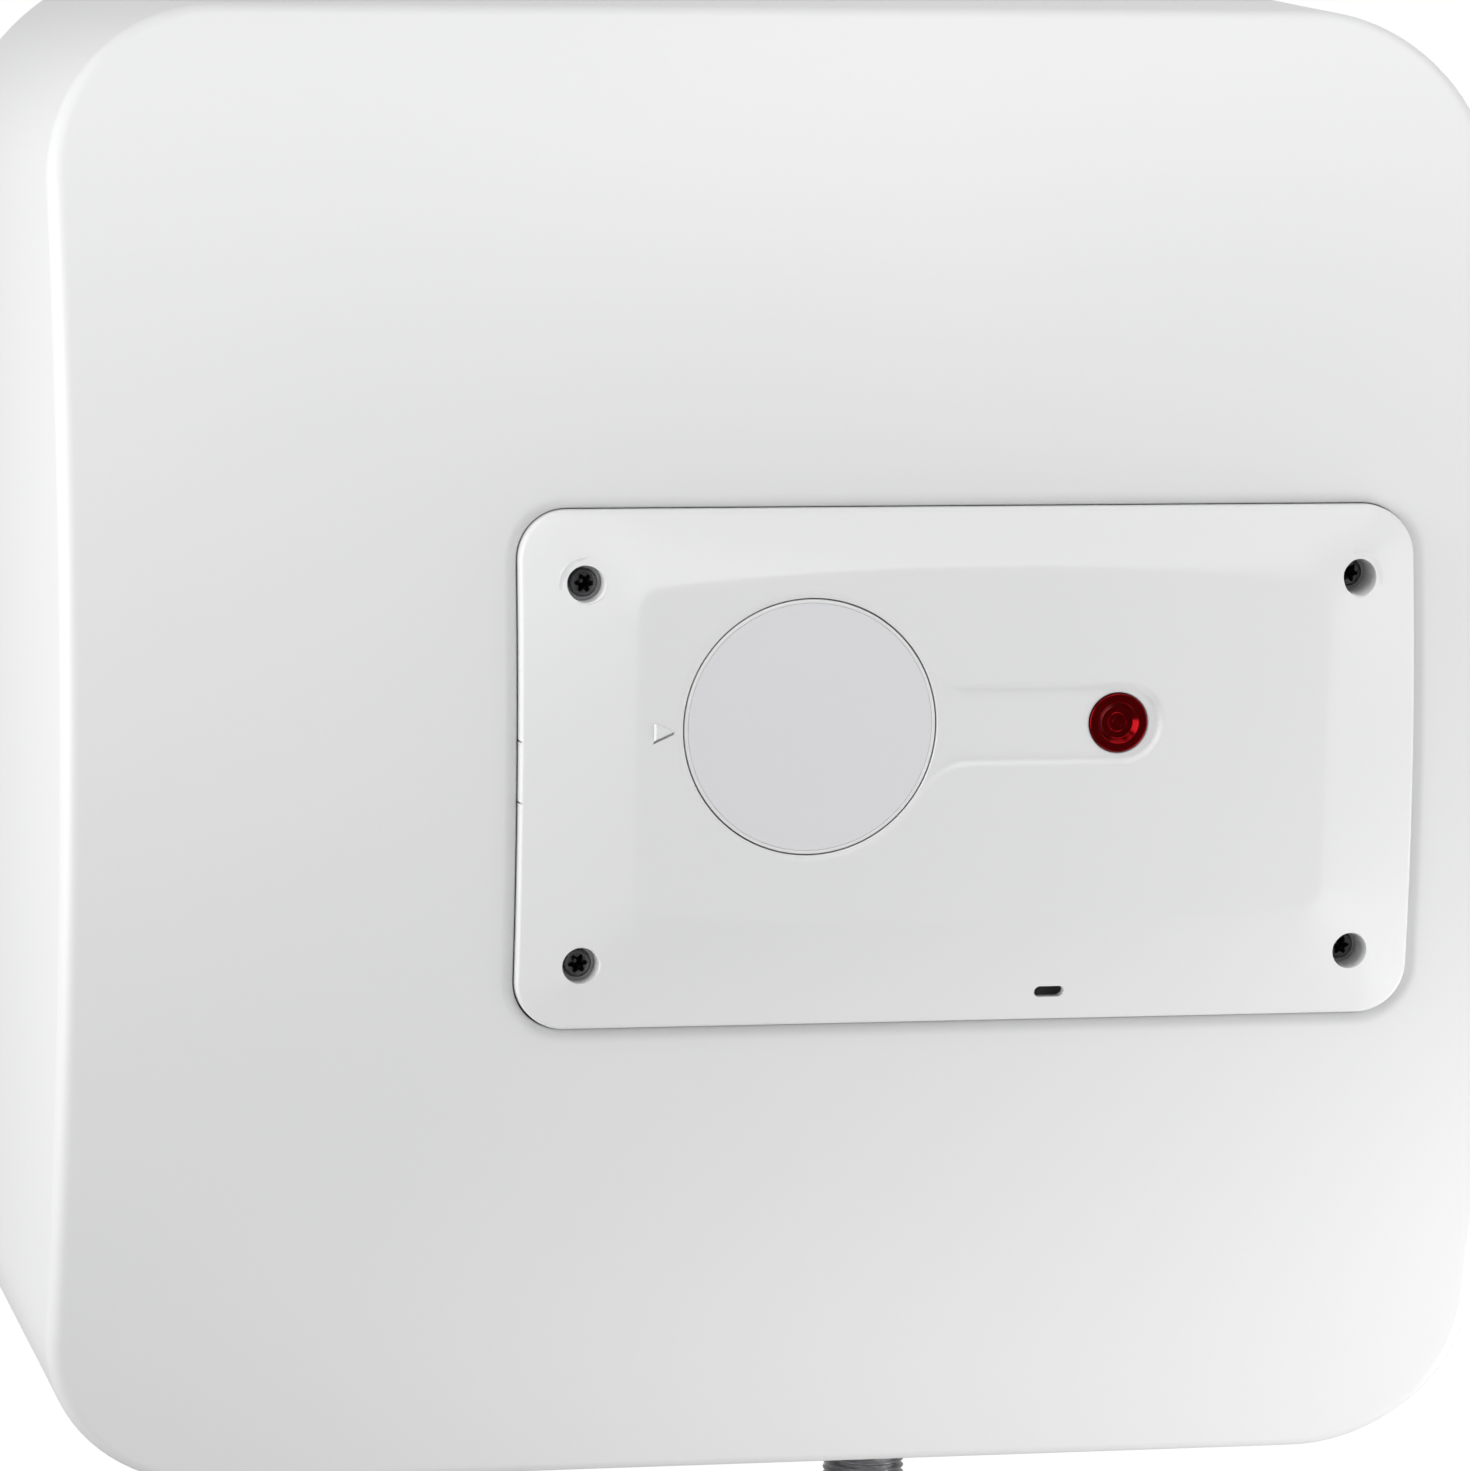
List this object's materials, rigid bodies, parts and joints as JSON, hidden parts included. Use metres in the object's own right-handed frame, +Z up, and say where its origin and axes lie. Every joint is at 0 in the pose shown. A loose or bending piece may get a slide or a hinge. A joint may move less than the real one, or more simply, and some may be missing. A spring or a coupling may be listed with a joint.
{
  "type": "tank water heater",
  "caption": "Small square wall-hung electric tank water heater with a bowed front, a screwed control cover, a temperature dial and two threaded connections underneath.",
  "frame": {"origin": "midway between the wall bracket's two screw holes, on the wall", "axes": "+Z up, the front faces -Y, +Y into the wall, +X to the right when facing the heater"},
  "size_m": [0.36, 0.344, 0.395],
  "materials": {
    "casing_white": "satin moulded white",
    "cover_white": "satin moulded white",
    "dial_grey": "smooth pale grey",
    "lens_red": "translucent dark red",
    "lamp_glass": "clear",
    "black_steel": "black oxide",
    "zinc_steel": "bright zinc plate",
    "pipe_steel": "plain machined steel",
    "enamel_blue": "vitreous enamel",
    "copper": "drawn copper",
    "brass": "plain",
    "foam": "rigid foam",
    "inner_plastic": "moulded",
    "collar_blue": "moulded blue",
    "collar_red": "moulded red",
    "black_rubber": "moulded",
    "insulator": "ceramic",
    "magnesium": "extruded",
    "bakelite": "moulded black",
    "button_red": "moulded red",
    "lead_blue": "wire sleeve",
    "lead_white": "wire sleeve"
  },
  "bodies": {
    "heater": {"front_shell": "casing_white", "rear_shell": "casing_white", "shell_screws": "zinc_steel", "front_insulation": "foam", "rear_insulation": "foam", "tank_barrel": "enamel_blue", "tank_front_head": "enamel_blue", "tank_rear_head": "enamel_blue", "cold_inlet_stub": "pipe_steel", "hot_outlet_stub": "pipe_steel", "cold_pipe_collar": "collar_blue", "hot_pipe_collar": "collar_red", "inlet_diffuser": "inner_plastic", "hot_standpipe": "copper", "flange_ring": "pipe_steel", "flange_studs": "zinc_steel", "flange_gasket": "black_rubber", "flange_plate": "pipe_steel", "flange_nuts": "zinc_steel", "heating_element": "copper", "element_insulators": "insulator", "element_tabs": "brass", "anode_rod": "magnesium", "anode_nut": "zinc_steel", "thermostat_pocket": "copper", "thermostat_probe": "brass", "thermostat_body": "bakelite", "earth_stud": "brass", "earth_nut": "brass", "panel_cover": "cover_white", "panel_screws": "black_steel", "indicator_lens": "lens_red", "lamp_holder": "inner_plastic", "indicator_lamp": "lamp_glass", "element_leads": "lead_blue", "lamp_leads": "lead_white", "cable_grommet": "black_rubber", "hanger_plate": "zinc_steel", "hanger_posts": "pipe_steel", "hanger_nuts": "zinc_steel", "wall_bracket": "zinc_steel", "wall_spacers": "black_rubber"},
    "dial": {"dial_knob": "cover_white", "dial_disc": "dial_grey", "thermostat_spindle": "zinc_steel"},
    "reset": {"reset_button": "button_red"}
  },
  "joints": [
    {"name": "dial_turn", "type": "hinge", "parent": "heater", "child": "dial", "pos_m": [0, -0.34, -0.094], "axis": [0, 1, 0], "range_deg": [0, 240]},
    {"name": "reset_press", "type": "slide", "parent": "heater", "child": "reset", "axis": [0, 1, 0], "range_m": [0, 0.0015], "stiffness_N_per_m": 500, "springref_m": -0.001}
  ]
}
